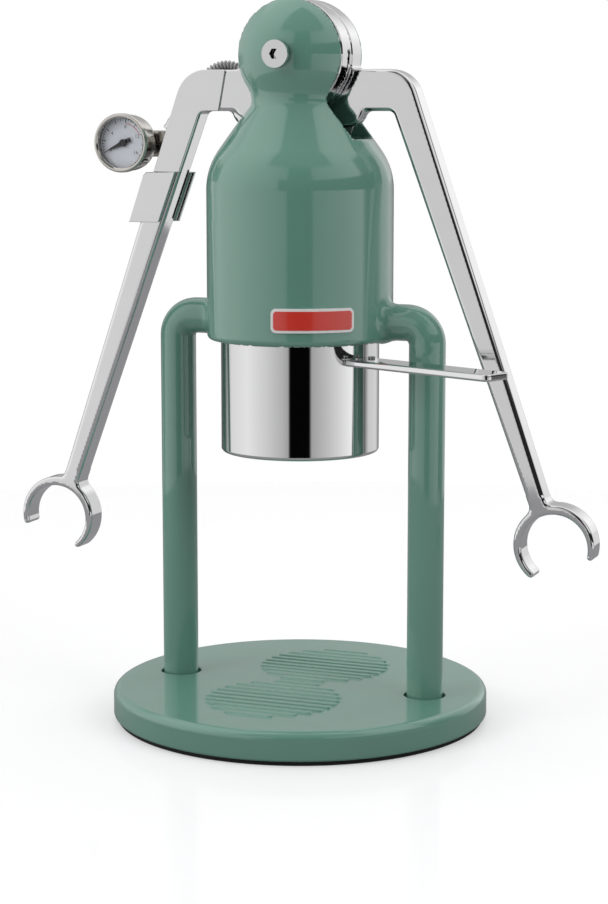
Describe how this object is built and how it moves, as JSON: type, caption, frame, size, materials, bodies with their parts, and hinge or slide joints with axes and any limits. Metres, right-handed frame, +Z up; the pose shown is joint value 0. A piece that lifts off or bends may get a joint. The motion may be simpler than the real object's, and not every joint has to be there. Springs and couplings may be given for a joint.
{
  "type": "lever espresso machine",
  "caption": "Hand-pressed espresso machine with a green round base and body, two polished lever arms, a pressure gauge and a portafilter.",
  "frame": {"origin": "centre of the underside of the round base, on the axis of the body", "axes": "+Z up along the body's axis, -Y towards the user, +X towards the portafilter handle's side"},
  "size_m": [0.2656, 0.166, 0.314],
  "materials": {
    "sage_paint": "gloss powder coat over aluminium casting",
    "polished_alloy": "mirror polished",
    "polished_steel": "mirror polished",
    "stainless": "satin turned",
    "gauge_steel": "warm grey satin plate",
    "brass": "satin",
    "black_rubber": "matt",
    "red_silicone": "satin",
    "badge_border": "satin",
    "badge_red": "gloss enamel",
    "gauge_glass": "clear",
    "dial_plate": "satin print",
    "needle_black": "satin",
    "hose_grey": "satin"
  },
  "bodies": {
    "frame": {"base_plate": "sage_paint", "base_foot": "black_rubber", "left_leg": "sage_paint", "right_leg": "sage_paint", "leg_screws": "stainless", "body_casting": "sage_paint", "badge_frame": "badge_border", "badge_face": "badge_red", "bayonet_ring": "stainless", "rod_guide": "brass", "pivot_bolt": "polished_steel", "pivot_nut": "polished_steel"},
    "left_lever": {"left_lever": "polished_alloy", "left_bush": "brass", "left_crank_pin": "stainless", "hose_cover": "polished_alloy", "hose_clip": "polished_alloy", "clip_screw": "stainless", "hose_fitting": "stainless", "spring_guard": "stainless", "gauge_hose": "hose_grey", "hose_ferrule": "polished_steel", "gauge_block": "stainless", "gauge_nut": "stainless", "gauge_case": "gauge_steel", "gauge_bezel": "gauge_steel", "gauge_lens": "gauge_glass", "gauge_dial": "dial_plate", "bourdon_tube": "brass", "gauge_movement": "brass"},
    "needle": {"gauge_needle": "needle_black"},
    "right_lever": {"right_lever": "polished_alloy", "right_bush": "brass", "right_crank_pin": "stainless"},
    "left_link": {"left_link": "stainless"},
    "right_link": {"right_link": "stainless"},
    "piston": {"piston_rod": "stainless", "crosshead_pin": "stainless", "piston_head": "stainless", "piston_seal": "red_silicone", "piston_screw": "stainless"},
    "portafilter": {"portafilter_body": "polished_steel", "portafilter_handle": "polished_steel", "handle_rivets": "stainless", "basket": "stainless", "dispersion_screen": "stainless", "screen_stem": "red_silicone"}
  },
  "joints": [
    {"name": "left_lever_lift", "type": "hinge", "parent": "frame", "child": "left_lever", "pos_m": [0, -0.006, 0.29], "axis": [0, 1, 0], "range_deg": [0, 90]},
    {"name": "right_lever_lift", "type": "hinge", "parent": "frame", "child": "right_lever", "pos_m": [0, 0.006, 0.29], "axis": [0, -1, 0], "range_deg": [0, 90]},
    {"name": "piston_travel", "type": "slide", "parent": "frame", "child": "piston", "axis": [0, 0, 1], "range_m": [0, 0.0444]},
    {"name": "left_link_swing", "type": "hinge", "parent": "left_lever", "child": "left_link", "pos_m": [-0.02107, -0.0036, 0.2674], "axis": [0, 1, 0], "range_deg": [-92, 0]},
    {"name": "right_link_swing", "type": "hinge", "parent": "right_lever", "child": "right_link", "pos_m": [0.02107, 0.0036, 0.2674], "axis": [0, -1, 0], "range_deg": [-92, 0]},
    {"name": "portafilter_twist", "type": "hinge", "parent": "frame", "child": "portafilter", "pos_m": [0, 0, 0.155], "axis": [0, 0, 1], "range_deg": [-60, 0]},
    {"name": "needle_turn", "type": "hinge", "parent": "left_lever", "child": "needle", "pos_m": [-0.0765, -0.0165, 0.2527], "axis": [0, 1, 0], "range_deg": [0, 240], "stiffness_Nm_per_rad": 0.0005}
  ],
  "couplings": [
    {"joint": "right_lever_lift", "follows": "left_lever_lift", "ratio": 1},
    {"joint": "piston_travel", "follows": "left_lever_lift", "m_per_rad": 0.028193},
    {"joint": "left_link_swing", "follows": "left_lever_lift", "ratio": -1.0178},
    {"joint": "right_link_swing", "follows": "left_lever_lift", "ratio": -1.0178}
  ]
}
